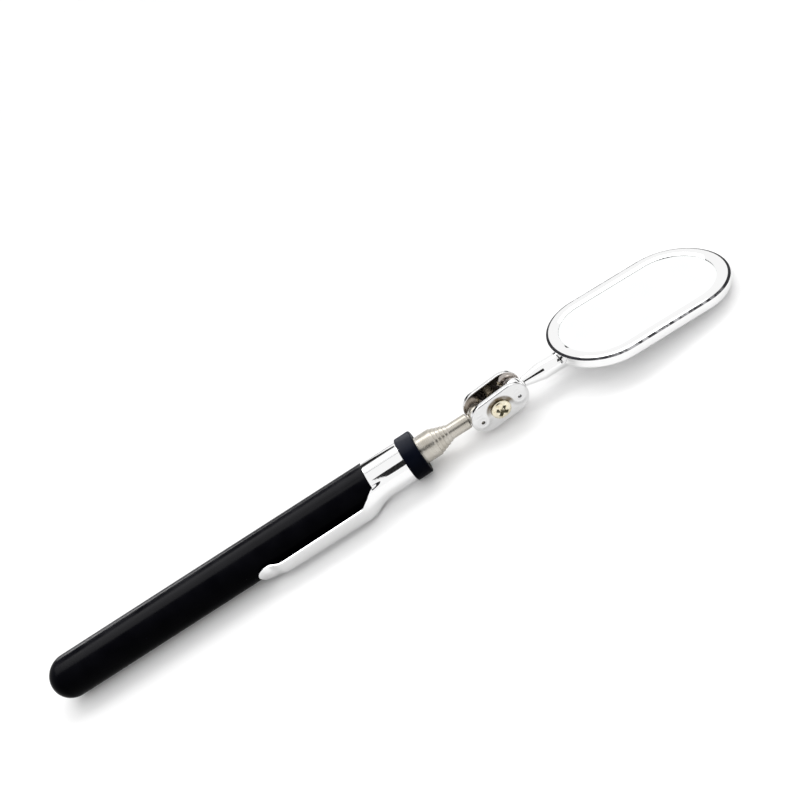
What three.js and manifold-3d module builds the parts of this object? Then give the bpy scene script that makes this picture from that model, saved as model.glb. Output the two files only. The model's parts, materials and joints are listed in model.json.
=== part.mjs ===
// Telescoping inspection mirror, lying on a flat surface with its mirror drooping almost to it.
// Millimetres. +X runs from the butt of the handle to the mirror, +Z is up, and the pocket clip and
// the screw head face -Y. The origin is the middle of the object's box, on the surface it lies on.
import * as THREE from 'three';
import { mergeVertices } from 'three/addons/utils/BufferGeometryUtils.js';
import Module from 'manifold-3d';

const wasm = await Module();
wasm.setup();

// ---------------------------------------------------------------- driving dimensions

const FACETS = 32; // sides of a round part
const CURVE_STEPS = 12; // steps in each arc of a flat outline
const FIT = 0.05; // radial gap of a push fit
const TURN_GAP = 0.1; // gap between neighbours inside the tilted joint and mirror

// handle: positions along the axis from the butt, and radii
const SLEEVE_END = 117;
const BAND_END = 129.0;
const CAP_END = 134.3;
const SLEEVE_BUTT_RADIUS = 7.0;
const SLEEVE_DOME = 6.0; // length of the rounded butt
const SLEEVE_FLOOR = 2.3; // thickness of the sleeve's closed end
const SLEEVE_EDGE = 0.3;
const SLEEVE_END_RADIUS = 6.75;
const TUBE_RADIUS = 6.1;
const TUBE_WALL = 0.6;
const TUBE_START = 3.8;
const PLUG_TAPER = 1.2; // how much narrower the plug and its pocket are at the butt
const PLUG_END = 6.6;
const CAP_RADIUS = 7.1;
const CAP_WALL = 1.9; // front wall of the end cap
const CAP_CHAMFER = 0.45;
const BAND_RADIUS = 6.7;

// pocket clip
const CLIP_TIP = 74;
const CLIP_THICKNESS = 0.8;
const CLIP_HEIGHT = 8.7; // middle of the strap's thickness, from the handle's axis
const CLIP_TIP_HEIGHT = 7.34; // the same where the tip's spoon rests on the sleeve
const CLIP_ROOT = 122;
const CLIP_BEND_END = 108.5;
const CLIP_SLOPE = THREE.MathUtils.degToRad(15); // below the horizontal, seen along the axis
const SPOON_RADIUS = 3.6; // half widths of the strap, from its tip to where it meets the band
const WAIST = 2.9;
const STRAP_ROOT = 3.4;
const FLARE = 4.9;
const SPOON_MIDDLE = 3.6; // of the dip, from the tip
const SPOON_REACH = 2.7;

// telescoping tubes: section 1 is the widest, section 6 is the rod that carries the ball
const SECTION_RADII = [4.4, 4.0, 3.6, 3.2, 2.8, 2.4];
const SECTION_WALL = 0.2;
const FIRST_MOUTH = 139.7; // where section 1 ends when the tool is closed
const MOUTH_STEP = 1.15; // how much further each next section reaches
const CRIMP = 0.9; // length of the rolled-in mouth
const CRIMP_NOSE = 0.3; // how far back the mouth's steep end starts
const CRIMP_DROP = 0.12; // how much narrower the tube is there
const LIP_GAP = 0.05;
const RUNNING_GAP = 0.03;
const BUSH_LENGTH = 4;
const TRAVEL = 118.33; // of each section: six of them open the tool from 240 to 950
const STOP_GAP = 0.1; // between a bush and its stop at full travel
const MOUTH_BUSH_START = 129.2;
const MOUTH_BUSH_LENGTH = 3.1;
const ROD_CHAMFER = 0.25;
const ROD_BORE = 6; // depth of the hole for the ball stud

// two-ball clamp
const BALL_RADIUS = 3.1;
const BALL_1 = 154.3; // along the handle's axis
const BALL_SPACING = 13;
const CLAMP_TILT = THREE.MathUtils.degToRad(5); // mirror end up
const PLATE_LENGTH = 19.3;
const PLATE_WIDTH = 10.7;
const PLATE_THICKNESS = 1.6;
const PLATE_BEVEL = 0.35;
const PLATE_GAP = 5.0;
const SEAT_RADIUS = BALL_RADIUS + 0.25;
const SEAT_HOLE_RADIUS = 0.6;
const SEAT_BOSS_HEIGHT = 0.45; // each ball's seat stands proud of the plate
const SEAT_BOSS_BASE = 3.3;
const SEAT_BOSS_TOP = 2.0;
const SEAT_BOSS_OVERLAP = 0.2;
const SCREW_RADIUS = 1.5;
const SCREW_HOLE_RADIUS = 1.65;
const HEAD_RADIUS = 3.1;
const HEAD_HEIGHT = 1.4;
const SCREW_TAIL = 0.5; // how far the screw comes through the rear plate
const TAIL_CHAMFER = 0.3;
const SLOT_LENGTH = 4.0;
const SLOT_WIDTH = 1.0;
const SLOT_DEPTH = 1.1;
const ROD_END = 151.05;
const STUD_RADIUS = 1.2; // spigot of each ball stud
const REAR_NECK_RADIUS = 1.7;
const FRONT_NECK_RADIUS = 1.55;
const REAR_SPIGOT = 5.6; // length of the rear stud's spigot

// stem and mirror: distances from the second ball, along the stem
const DROOP = THREE.MathUtils.degToRad(6); // of the stem, below the horizontal
const TURN_ASIDE = THREE.MathUtils.degToRad(5); // of the stem, away from the screw head
const STEM_START = 3.3;
const STEM_CONE_END = 9.7;
const STEM_RADIUS = 2.9;
const STEM_EDGE = 0.2;
const STEM_BORE_END = 9.3;
const MIRROR_START = 15.488;
const TONGUE_LENGTH = 9; // half-round end of the stem, under the frame
const RIVET_SPACING = 3.8;
const RIVET_RADIUS = 0.8;
const RIVET_HEAD_RADIUS = 1.4;
const RIVET_HEAD = 0.35;
const RIVET_DEPTH = 2.0; // below the top of the tongue
const MIRROR_STRAIGHT = 25; // straight part of the mirror's outline
const OPENING_RADIUS = 12.5; // round ends of the visible glass: 50 x 25
const FRAME_RADIUS = 16.25; // round ends of the frame: 57.5 x 32.5
const FRAME_WALL = 0.7;
const FRAME_DEPTH = 3.5;
const FRAME_LOW = 0.6; // the frame's back, above the stem's axis
const CHANNEL_DEPTH = 0.1; // pressed into the frame's back, where the tongue lies
const CHANNEL_GAP = 0.15;
const FRAME_BACK = 0.5;
const FRAME_LIP = 0.55;
const FRAME_BEVEL = 0.45;
const GLASS_THICKNESS = 1.85;
const GLASS_EDGE_GAP = 0.25;
const PAD_THICKNESS = 0.4;

// ---------------------------------------------------------------- shared shape helpers

// A solid of revolution about +X. Each point is [position along the axis, radius]. The outline
// starts and ends on the axis, or it closes on itself, and it runs round the solid clockwise.
function turned(points) {
  const outline = points.map(([along, radius]) => new THREE.Vector2(radius, along));
  return new THREE.LatheGeometry(outline, FACETS).rotateZ(-Math.PI / 2);
}

// A straight ring about +X.
function ring(start, end, inner, outer) {
  return turned([[start, inner], [start, outer], [end, outer], [end, inner], [start, inner]]);
}

function rod(start, end, radius) {
  return turned([[start, 0], [start, radius], [end, radius], [end, 0]]);
}

// Points of a quarter ellipse or other arc about `centre` on the axis, from angle a to angle b,
// where 0 points along +X and 90 degrees points outward.
function arcPoints(centre, radius, from, to, steps) {
  const points = [];
  for (let i = 0; i <= steps; i++) {
    const angle = from + ((to - from) * i) / steps;
    points.push([centre + radius * Math.cos(angle), radius * Math.sin(angle)]);
  }
  return points;
}

// A flat shape with two straight sides and round ends, centred on the origin in the XY plane.
function stadium(straight, radius) {
  const shape = new THREE.Shape();
  shape.absarc(straight / 2, 0, radius, -Math.PI / 2, Math.PI / 2, false);
  shape.absarc(-straight / 2, 0, radius, Math.PI / 2, (3 * Math.PI) / 2, false);
  shape.closePath();
  return shape;
}

function roundHole(shape, x, radius) {
  const hole = new THREE.Path();
  hole.absarc(x, 0, radius, 0, 2 * Math.PI, true);
  shape.holes.push(hole);
}

// A plate of the given outline from z = low to z = high, with bevelled edges where bevel > 0.
// The bevel stays inside the outline.
function slab(shape, low, high, bevel = 0) {
  const plate = new THREE.ExtrudeGeometry(shape, {
    depth: high - low - 2 * bevel,
    curveSegments: CURVE_STEPS,
    bevelEnabled: bevel > 0,
    bevelThickness: bevel,
    bevelSize: bevel,
    bevelOffset: -bevel,
    bevelSegments: 2,
  });
  return plate.translate(0, 0, low + bevel);
}

function toSolid(geometry) {
  const bare = geometry.clone();
  bare.deleteAttribute('normal');
  bare.deleteAttribute('uv');
  const merged = mergeVertices(bare, 1e-4);
  return new wasm.Manifold(new wasm.Mesh({
    numProp: 3,
    vertProperties: new Float32Array(merged.attributes.position.array),
    triVerts: new Uint32Array(merged.index.array),
  }));
}

function toGeometry(solid) {
  const mesh = solid.getMesh();
  const geometry = new THREE.BufferGeometry();
  geometry.setAttribute('position', new THREE.BufferAttribute(mesh.vertProperties, 3));
  geometry.setIndex(new THREE.BufferAttribute(mesh.triVerts, 1));
  geometry.computeVertexNormals();
  return geometry;
}

function cut(body, ...tools) {
  let solid = toSolid(body);
  for (const tool of tools) {
    solid = solid.subtract(toSolid(tool));
  }
  return toGeometry(solid);
}

function joined(first, ...others) {
  let solid = toSolid(first);
  for (const other of others) {
    solid = solid.add(toSolid(other));
  }
  return toGeometry(solid);
}

function part(name, geometry, material) {
  const mesh = new THREE.Mesh(geometry, material);
  mesh.name = name;
  return mesh;
}

// ---------------------------------------------------------------- materials

function finish(color, roughness, metalness) {
  return new THREE.MeshStandardMaterial({ color, roughness, metalness });
}

const vinyl = finish(0x141416, 0.45, 0);
const blackPlastic = finish(0x1c1c1f, 0.5, 0);
const chrome = finish(0xe6e8ea, 0.08, 1);
const nickel = finish(0xc9c2b6, 0.25, 1);
const brass = finish(0xc9a45a, 0.3, 1);
const yellowZinc = finish(0xd8c48a, 0.28, 1);
const silvered = finish(0xf2f5f6, 0.02, 1);
const foam = finish(0x3a3a3c, 0.95, 0);

// ---------------------------------------------------------------- handle

// Dipped vinyl sleeve: a blunt round butt, a slight taper and a blind bore.
function gripSleeve() {
  const bore = TUBE_RADIUS + FIT;
  const dome = [];
  const steps = 9;
  for (let i = 0; i <= steps; i++) {
    const angle = (Math.PI / 2) * (i / steps);
    dome.push([SLEEVE_DOME * (1 - Math.cos(angle)), SLEEVE_BUTT_RADIUS * Math.sin(angle)]);
  }
  return turned([
    ...dome,
    [SLEEVE_END - SLEEVE_EDGE, SLEEVE_END_RADIUS],
    [SLEEVE_END, SLEEVE_END_RADIUS - SLEEVE_EDGE],
    [SLEEVE_END, bore],
    [TUBE_START - 2 * TURN_GAP, bore],
    [SLEEVE_FLOOR, bore - PLUG_TAPER],
    [SLEEVE_FLOOR, 0],
  ]);
}

function handleTube() {
  return ring(TUBE_START, CAP_END - CAP_WALL - FIT, TUBE_RADIUS - TUBE_WALL, TUBE_RADIUS);
}

// Plug that closes the butt end of the tube: its nose sits in the sleeve, the rest in the tube.
function buttPlug() {
  const radius = TUBE_RADIUS - TUBE_WALL - FIT;
  const nose = SLEEVE_FLOOR + TURN_GAP;
  return turned([
    [nose, 0],
    [nose, radius - PLUG_TAPER],
    [TUBE_START - TURN_GAP, radius],
    [PLUG_END, radius],
    [PLUG_END, 0],
  ]);
}

function endCap() {
  const bore = TUBE_RADIUS + FIT;
  const mouth = SECTION_RADII[0] + 0.3;
  const start = BAND_END + FIT;
  return turned([
    [start, bore],
    [start, CAP_RADIUS - CAP_CHAMFER],
    [start + CAP_CHAMFER, CAP_RADIUS],
    [CAP_END - CAP_CHAMFER, CAP_RADIUS],
    [CAP_END, CAP_RADIUS - CAP_CHAMFER],
    [CAP_END, mouth],
    [CAP_END - CAP_WALL, mouth],
    [CAP_END - CAP_WALL, bore],
    [start, bore],
  ]);
}

// Bush that guides section 1 and stops its sliding bush at full travel.
function mouthBush() {
  return ring(
    MOUTH_BUSH_START,
    MOUTH_BUSH_START + MOUTH_BUSH_LENGTH,
    SECTION_RADII[0] + RUNNING_GAP,
    TUBE_RADIUS - TUBE_WALL - FIT,
  );
}

// Half the strap's width at a distance from the butt.
function clipHalfWidth(x) {
  const spoonCentre = CLIP_TIP + SPOON_RADIUS;
  if (x < spoonCentre) {
    return Math.sqrt(Math.max(SPOON_RADIUS ** 2 - (spoonCentre - x) ** 2, 0.25));
  }
  const shoulder = THREE.MathUtils.smoothstep(x, spoonCentre, spoonCentre + SPOON_RADIUS * 1.6);
  const share = Math.min((x - spoonCentre) / (CLIP_BEND_END - spoonCentre), 1);
  const along = THREE.MathUtils.lerp(WAIST, STRAP_ROOT, share);
  const strap = THREE.MathUtils.lerp(SPOON_RADIUS, along, shoulder);
  return THREE.MathUtils.lerp(strap, FLARE, THREE.MathUtils.smoothstep(x, CLIP_BEND_END, SLEEVE_END));
}

// Distance of the strap's middle from the handle's axis: down on the band, out over the sleeve, and
// in again at the spoon that holds a pocket's edge.
function clipHeight(x) {
  const onBand = (BAND_RADIUS + TUBE_RADIUS + FIT) / 2;
  const bend = THREE.MathUtils.smoothstep(x, CLIP_BEND_END, CLIP_ROOT);
  const spoon = Math.exp(-(((x - CLIP_TIP - SPOON_MIDDLE) / SPOON_REACH) ** 2));
  const strap = THREE.MathUtils.lerp(CLIP_HEIGHT, onBand, bend);
  return strap - (CLIP_HEIGHT - CLIP_TIP_HEIGHT) * spoon;
}

// The strap is flat over the sleeve and curls round the band at its root.
function clipStrap() {
  const length = CLIP_ROOT - CLIP_TIP;
  const bandThickness = BAND_RADIUS - TUBE_RADIUS - FIT - 0.06;
  const strap = new THREE.BoxGeometry(length, 2, 1, 38, 4, 1);
  const position = strap.attributes.position;
  for (let i = 0; i < position.count; i++) {
    const x = CLIP_TIP + length / 2 + position.getX(i);
    const across = position.getY(i) * clipHalfWidth(x);
    const height = clipHeight(x);
    const curl = THREE.MathUtils.smoothstep(x, CLIP_BEND_END, SLEEVE_END);
    const thickness = THREE.MathUtils.lerp(CLIP_THICKNESS, bandThickness,
      THREE.MathUtils.smoothstep(x, SLEEVE_END, CLIP_ROOT - 1));
    const radial = height + position.getZ(i) * thickness;
    const angle = across / height;
    const curledAcross = radial * Math.sin(angle);
    const curledUp = radial * Math.cos(angle);
    position.setXYZ(
      i,
      x,
      THREE.MathUtils.lerp(across, curledAcross, curl),
      THREE.MathUtils.lerp(radial, curledUp, curl),
    );
  }
  return strap;
}

function pocketClip() {
  const band = ring(SLEEVE_END + FIT, BAND_END, TUBE_RADIUS + FIT, BAND_RADIUS);
  // The strap is drawn above the axis, then swung to the -Y side and below the horizontal.
  return joined(band, clipStrap().rotateX(Math.PI / 2 + CLIP_SLOPE));
}

// ---------------------------------------------------------------- telescoping tubes

function mouthOf(index) {
  return FIRST_MOUTH + MOUTH_STEP * index;
}

// Inner end of a section when the tool is closed: one travel back from where its bush meets a stop.
function innerEndOf(index) {
  const stop = index === 0 ? MOUTH_BUSH_START : mouthOf(index - 1) - CRIMP;
  return stop - STOP_GAP - TRAVEL - BUSH_LENGTH;
}

// Thin tube with its mouth rolled in until it nearly touches the next section.
function sectionTube(index) {
  const outer = SECTION_RADII[index];
  const inner = outer - SECTION_WALL;
  const lip = SECTION_RADII[index + 1] + LIP_GAP;
  const start = innerEndOf(index);
  const mouth = mouthOf(index);
  return turned([
    [start, inner],
    [start, outer],
    [mouth - CRIMP, outer],
    [mouth - CRIMP_NOSE, outer - CRIMP_DROP],
    [mouth, lip + 2 * LIP_GAP],
    [mouth, lip],
    [mouth - CRIMP / 2, lip],
    [mouth - CRIMP, inner],
    [start, inner],
  ]);
}

// The last section is a solid rod, drilled at its end for the ball stud.
function sectionRod() {
  const last = SECTION_RADII.length - 1;
  const radius = SECTION_RADII[last];
  const drilled = STUD_RADIUS + FIT;
  return turned([
    [innerEndOf(last), 0],
    [innerEndOf(last), radius],
    [ROD_END - ROD_CHAMFER, radius],
    [ROD_END, radius - ROD_CHAMFER],
    [ROD_END, drilled],
    [ROD_END - ROD_BORE, drilled],
    [ROD_END - ROD_BORE, 0],
  ]);
}

// Thin spring bush round a section's inner end. It slides in the tube outside and keeps it centred.
function slideBush(index) {
  const bore = index === 0 ? TUBE_RADIUS - TUBE_WALL : SECTION_RADII[index - 1] - SECTION_WALL;
  const start = innerEndOf(index);
  return ring(start, start + BUSH_LENGTH, SECTION_RADII[index] + RUNNING_GAP, bore - RUNNING_GAP);
}

// ---------------------------------------------------------------- two-ball clamp

// A ball about the origin with a neck and a thinner spigot along +X.
function ballStud(neckRadius, neckEnd, spigotEnd) {
  const meets = Math.asin(neckRadius / BALL_RADIUS);
  return turned([
    ...arcPoints(0, BALL_RADIUS, Math.PI, meets, 9).map(([x, r], i) => [x, i === 0 ? 0 : r]),
    [neckEnd, neckRadius],
    [neckEnd, STUD_RADIUS],
    [spigotEnd, STUD_RADIUS],
    [spigotEnd, 0],
  ]);
}

function rearBallStud() {
  const neck = BALL_1 - ROD_END - TURN_GAP;
  const stud = ballStud(REAR_NECK_RADIUS, neck, neck + REAR_SPIGOT);
  return stud.rotateZ(Math.PI).translate(BALL_1, 0, 0);
}

function frontBallStud() {
  return ballStud(FRONT_NECK_RADIUS, STEM_START - TURN_GAP, STEM_BORE_END - TURN_GAP);
}

// One clamp plate, centred between the balls. side is -1 for the plate under the screw head, +1 for
// the one it screws into. Each ball sits in a round pocket under a raised seat with a small hole.
function clampPlate(side) {
  const outline = stadium(PLATE_LENGTH - PLATE_WIDTH, PLATE_WIDTH / 2);
  roundHole(outline, 0, SCREW_HOLE_RADIUS);
  const low = PLATE_GAP / 2;
  const face = low + PLATE_THICKNESS;
  const ends = [-BALL_SPACING / 2, BALL_SPACING / 2];
  const bosses = ends.map((x) => {
    const height = SEAT_BOSS_HEIGHT + SEAT_BOSS_OVERLAP;
    const boss = new THREE.CylinderGeometry(SEAT_BOSS_TOP, SEAT_BOSS_BASE, height, 24);
    return boss.rotateX(Math.PI / 2).translate(x, 0, face + SEAT_BOSS_HEIGHT - height / 2);
  });
  const pockets = ends.map((x) => {
    return new THREE.SphereGeometry(SEAT_RADIUS, 16, 12).translate(x, 0, 0);
  });
  const holes = ends.map((x) => {
    const hole = new THREE.CylinderGeometry(SEAT_HOLE_RADIUS, SEAT_HOLE_RADIUS, 4 * face, 12);
    return hole.rotateX(Math.PI / 2).translate(x, 0, 0);
  });
  const plate = joined(slab(outline, low, face, PLATE_BEVEL), ...bosses);
  return cut(plate, ...pockets, ...holes).rotateX((-side * Math.PI) / 2);
}

// Pan-head screw with a cross recess, through the middle of both plates, head towards -Y.
function clampScrew() {
  const under = PLATE_GAP / 2 + PLATE_THICKNESS + TURN_GAP;
  const top = under + HEAD_HEIGHT;
  const tail = -under - SCREW_TAIL;
  const pan = [[0.4, 1], [0.7, 0.86], [0.9, 0.6], [1, 0.3]]; // shares of height and radius
  const screw = turned([
    [tail, 0],
    [tail, SCREW_RADIUS - TAIL_CHAMFER],
    [tail + TAIL_CHAMFER, SCREW_RADIUS],
    [under, SCREW_RADIUS],
    [under, HEAD_RADIUS],
    ...pan.map(([up, out]) => [under + up * HEAD_HEIGHT, out * HEAD_RADIUS]),
    [top, 0],
  ]);
  const slots = [0, 1].map((turn) => {
    const slot = new THREE.BoxGeometry(2 * SLOT_DEPTH, SLOT_LENGTH, SLOT_WIDTH);
    return slot.translate(top, 0, 0).rotateX(Math.PI / 4 + (turn * Math.PI) / 2);
  });
  return cut(screw, ...slots).rotateZ(-Math.PI / 2);
}

// ---------------------------------------------------------------- stem and mirror

// Cone and barrel between the ball stud and the frame, bored for the stud. The barrel goes on under
// the frame as a half-round tongue with two rivet holes.
function mirrorStem() {
  const end = MIRROR_START - TURN_GAP;
  const bore = STUD_RADIUS + FIT;
  const barrel = turned([
    [STEM_START, bore],
    [STEM_START, FRONT_NECK_RADIUS],
    [STEM_CONE_END, STEM_RADIUS - STEM_EDGE / 2],
    [STEM_CONE_END + STEM_EDGE, STEM_RADIUS],
    [MIRROR_START + TONGUE_LENGTH - 2 * STEM_EDGE, STEM_RADIUS],
    [MIRROR_START + TONGUE_LENGTH, STEM_RADIUS - 2 * STEM_EDGE],
    [MIRROR_START + TONGUE_LENGTH, 0],
    [STEM_BORE_END, 0],
    [STEM_BORE_END, bore],
    [STEM_START, bore],
  ]);
  const above = new THREE.BoxGeometry(2 * TONGUE_LENGTH, 3 * STEM_RADIUS, 2 * STEM_RADIUS);
  above.translate(end + TONGUE_LENGTH, 0, FRAME_LOW + CHANNEL_DEPTH - FIT + STEM_RADIUS);
  const holes = rivetPlaces().map((x) => {
    const radius = RIVET_RADIUS + FIT;
    const hole = new THREE.CylinderGeometry(radius, radius, 2 * RIVET_DEPTH, 16);
    return hole.rotateX(Math.PI / 2).translate(x, 0, FRAME_LOW);
  });
  return cut(barrel, above, ...holes);
}

function rivetPlaces() {
  const middle = MIRROR_START + TONGUE_LENGTH / 2;
  return [middle - RIVET_SPACING / 2, middle + RIVET_SPACING / 2];
}

// Rivet through the frame's back into the tongue, its head inside the frame.
function stemRivet(x) {
  const underHead = FRAME_LOW + FRAME_BACK + FIT;
  const rivet = turned([
    [FRAME_LOW - RIVET_DEPTH + TURN_GAP, 0],
    [FRAME_LOW - RIVET_DEPTH + TURN_GAP, RIVET_RADIUS],
    [underHead, RIVET_RADIUS],
    [underHead, RIVET_HEAD_RADIUS],
    [underHead + RIVET_HEAD, RIVET_HEAD_RADIUS - RIVET_HEAD],
    [underHead + RIVET_HEAD, 0],
  ]);
  return rivet.rotateY(-Math.PI / 2).translate(x, 0, 0);
}

function mirrorCentre() {
  return MIRROR_START + MIRROR_STRAIGHT / 2 + FRAME_RADIUS;
}

function atMirror(geometry) {
  return geometry.translate(mirrorCentre(), 0, 0);
}

// Pressed frame: a shallow tray with its lip rolled over the edge of the glass.
function mirrorFrame() {
  const back = FRAME_LOW;
  const front = FRAME_LOW + FRAME_DEPTH;
  const tray = slab(stadium(MIRROR_STRAIGHT, FRAME_RADIUS), back, front, FRAME_BEVEL);
  const pocket = slab(
    stadium(MIRROR_STRAIGHT, FRAME_RADIUS - FRAME_WALL),
    back + FRAME_BACK,
    front - FRAME_LIP,
  );
  const opening = slab(stadium(MIRROR_STRAIGHT, OPENING_RADIUS), back + 1, front + 1);
  const holes = rivetPlaces().map((x) => {
    const radius = RIVET_RADIUS + FIT;
    const hole = new THREE.CylinderGeometry(radius, radius, 4 * FRAME_BACK, 16);
    return hole.rotateX(Math.PI / 2).translate(x - mirrorCentre(), 0, back);
  });
  const channelLength = TONGUE_LENGTH + CHANNEL_GAP;
  const channel = new THREE.BoxGeometry(
    2 * channelLength,
    2 * (STEM_RADIUS + CHANNEL_GAP),
    2 * CHANNEL_DEPTH,
  );
  channel.translate(MIRROR_START - mirrorCentre(), 0, back);
  return atMirror(cut(tray, pocket, opening, channel, ...holes));
}

function mirrorGlass() {
  const top = FRAME_LOW + FRAME_DEPTH - FRAME_LIP - FIT;
  const outline = stadium(MIRROR_STRAIGHT, FRAME_RADIUS - FRAME_WALL - GLASS_EDGE_GAP);
  return atMirror(slab(outline, top - GLASS_THICKNESS, top));
}

// Thin foam between the frame's back and the glass, with holes that clear the rivet heads.
function glassPad() {
  const low = FRAME_LOW + FRAME_BACK + FIT;
  const outline = stadium(MIRROR_STRAIGHT, FRAME_RADIUS - FRAME_WALL - GLASS_EDGE_GAP);
  for (const x of rivetPlaces()) {
    roundHole(outline, x - mirrorCentre(), RIVET_HEAD_RADIUS + TURN_GAP);
  }
  return atMirror(slab(outline, low, low + PAD_THICKNESS));
}

// ---------------------------------------------------------------- assembly

// Everything is placed from the handle's axis, which runs along X at the cap's radius above the
// surface, with x = 0 at the butt.
function buildTool() {
  const onAxis = new THREE.Group();
  onAxis.position.z = CAP_RADIUS;
  onAxis.add(
    part('grip_sleeve', gripSleeve(), vinyl),
    part('handle_tube', handleTube(), chrome),
    part('butt_plug', buttPlug(), blackPlastic),
    part('pocket_clip', pocketClip(), chrome),
    part('end_cap', endCap(), blackPlastic),
    part('mouth_bush', mouthBush(), brass),
  );
  SECTION_RADII.forEach((radius, index) => {
    const tube = index < SECTION_RADII.length - 1 ? sectionTube(index) : sectionRod();
    onAxis.add(part(`section_${index + 1}`, tube, nickel));
    onAxis.add(part(`slide_bush_${index + 1}`, slideBush(index), brass));
  });
  onAxis.add(part('rear_ball_stud', rearBallStud(), nickel));

  const clamp = new THREE.Group();
  clamp.position.x = BALL_1;
  clamp.rotation.y = -CLAMP_TILT;
  const aboutMiddle = new THREE.Group();
  aboutMiddle.position.x = BALL_SPACING / 2;
  aboutMiddle.add(
    part('clamp_plate_front', clampPlate(-1), chrome),
    part('clamp_plate_rear', clampPlate(1), chrome),
    part('clamp_screw', clampScrew(), yellowZinc),
  );
  clamp.add(aboutMiddle);
  onAxis.add(clamp);

  const mirror = new THREE.Group();
  mirror.position.set(
    BALL_1 + BALL_SPACING * Math.cos(CLAMP_TILT),
    0,
    BALL_SPACING * Math.sin(CLAMP_TILT),
  );
  mirror.rotation.set(0, DROOP, TURN_ASIDE, 'ZYX');
  mirror.add(
    part('front_ball_stud', frontBallStud(), chrome),
    part('mirror_stem', mirrorStem(), chrome),
    part('mirror_frame', mirrorFrame(), chrome),
    part('mirror_glass', mirrorGlass(), silvered),
    part('glass_pad', glassPad(), foam),
  );
  rivetPlaces().forEach((x, index) => {
    mirror.add(part(`stem_rivet_${index + 1}`, stemRivet(x), nickel));
  });
  onAxis.add(mirror);
  return onAxis;
}

const tool = buildTool();
const inspectionMirror = new THREE.Group();
inspectionMirror.add(tool);
inspectionMirror.updateMatrixWorld(true);
const box = new THREE.Box3().setFromObject(inspectionMirror, true);
const middle = box.getCenter(new THREE.Vector3());
tool.position.x -= middle.x;
tool.position.y -= middle.y;
tool.position.z -= box.min.z;

export default inspectionMirror;
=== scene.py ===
"""Telescoping inspection mirror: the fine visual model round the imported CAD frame.

Every visible CAD node is replaced by a finer mesh of the same size, built here by mesh code. Places
and sizes come from the frame's boxes and joints. Lengths in the shape code are millimetres.
"""

import json
import math

import bmesh
import bpy
from mathutils import Matrix, Vector


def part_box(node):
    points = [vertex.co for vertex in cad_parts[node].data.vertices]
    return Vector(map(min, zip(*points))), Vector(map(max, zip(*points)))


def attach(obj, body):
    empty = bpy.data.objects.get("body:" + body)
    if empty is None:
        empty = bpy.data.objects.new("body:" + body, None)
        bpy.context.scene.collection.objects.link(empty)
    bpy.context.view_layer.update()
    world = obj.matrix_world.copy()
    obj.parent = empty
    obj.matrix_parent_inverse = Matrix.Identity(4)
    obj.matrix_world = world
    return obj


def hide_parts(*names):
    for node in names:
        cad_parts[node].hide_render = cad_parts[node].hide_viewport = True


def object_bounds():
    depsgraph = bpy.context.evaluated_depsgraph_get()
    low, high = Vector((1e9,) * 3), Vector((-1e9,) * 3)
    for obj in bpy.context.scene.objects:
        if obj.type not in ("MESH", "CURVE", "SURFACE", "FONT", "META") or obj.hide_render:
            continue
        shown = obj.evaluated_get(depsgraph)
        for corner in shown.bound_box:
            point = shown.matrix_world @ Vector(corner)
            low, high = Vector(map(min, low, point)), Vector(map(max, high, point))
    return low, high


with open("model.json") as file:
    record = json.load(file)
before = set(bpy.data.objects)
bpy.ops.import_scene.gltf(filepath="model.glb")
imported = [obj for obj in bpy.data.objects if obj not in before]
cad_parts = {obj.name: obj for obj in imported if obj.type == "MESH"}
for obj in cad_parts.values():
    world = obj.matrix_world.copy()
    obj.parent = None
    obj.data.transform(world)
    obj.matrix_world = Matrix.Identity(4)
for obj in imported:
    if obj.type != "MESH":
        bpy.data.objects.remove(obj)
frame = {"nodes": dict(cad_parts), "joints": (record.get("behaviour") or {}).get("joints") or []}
cad_low, cad_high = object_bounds()

MM = 0.001
ROUND = 144  # sides of a round piece
STEPS = 8  # steps in a filleted corner
SIDE_STEPS = 24  # steps along a straight side of the mirror
SHARP = 38  # edges that turn more than this many degrees stay sharp
CUT_SHARP = 50  # the same, after a piece is cut or bevelled
WELD = 1e-7  # vertices closer than this, in metres, become one
AXIS_RADIUS = 1e-6  # of a ring that stands for a point on the axis

JOINTS = {joint["name"]: joint for joint in frame["joints"]}
BALL_1 = Vector(JOINTS["rear_ball_swing"]["pos_m"])
BALL_2 = Vector(JOINTS["front_ball_swing"]["pos_m"])
STEM_DIRECTION = Vector(JOINTS["mirror_roll"]["axis"])


# ------------------------------------------------------------------ places taken from the frame


def low(node, axis):
    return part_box(node)[0][axis]


def high(node, axis):
    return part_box(node)[1][axis]


def middle(node, axis):
    return (low(node, axis) + high(node, axis)) / 2


BUTT = Vector((low("grip_sleeve", 0), middle("end_cap", 1), middle("end_cap", 2)))


def along(node, end):
    """Distance in mm of a node's lower (0) or higher (1) end from the butt, along the handle."""
    return (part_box(node)[end][0] - BUTT.x) / MM


def radius_of(node):
    return (high(node, 1) - low(node, 1)) / 2 / MM


def placed(origin, direction):
    """Millimetres in a local frame whose X lies along direction and whose Y stays level."""
    x = Vector(direction).normalized()
    y = Vector((0, 0, 1)).cross(x).normalized()
    z = x.cross(y)
    turn = Matrix((x, y, z)).transposed().to_4x4()
    return Matrix.Translation(origin) @ turn @ Matrix.Scale(MM, 4)


ON_HANDLE = placed(BUTT, (1, 0, 0))
AT_BALL_1 = placed(BALL_1, (1, 0, 0))
ON_CLAMP = placed((BALL_1 + BALL_2) / 2, BALL_2 - BALL_1)
ON_MIRROR = placed(BALL_2, STEM_DIRECTION)


# ------------------------------------------------------------------ camera, lights and floor

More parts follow.
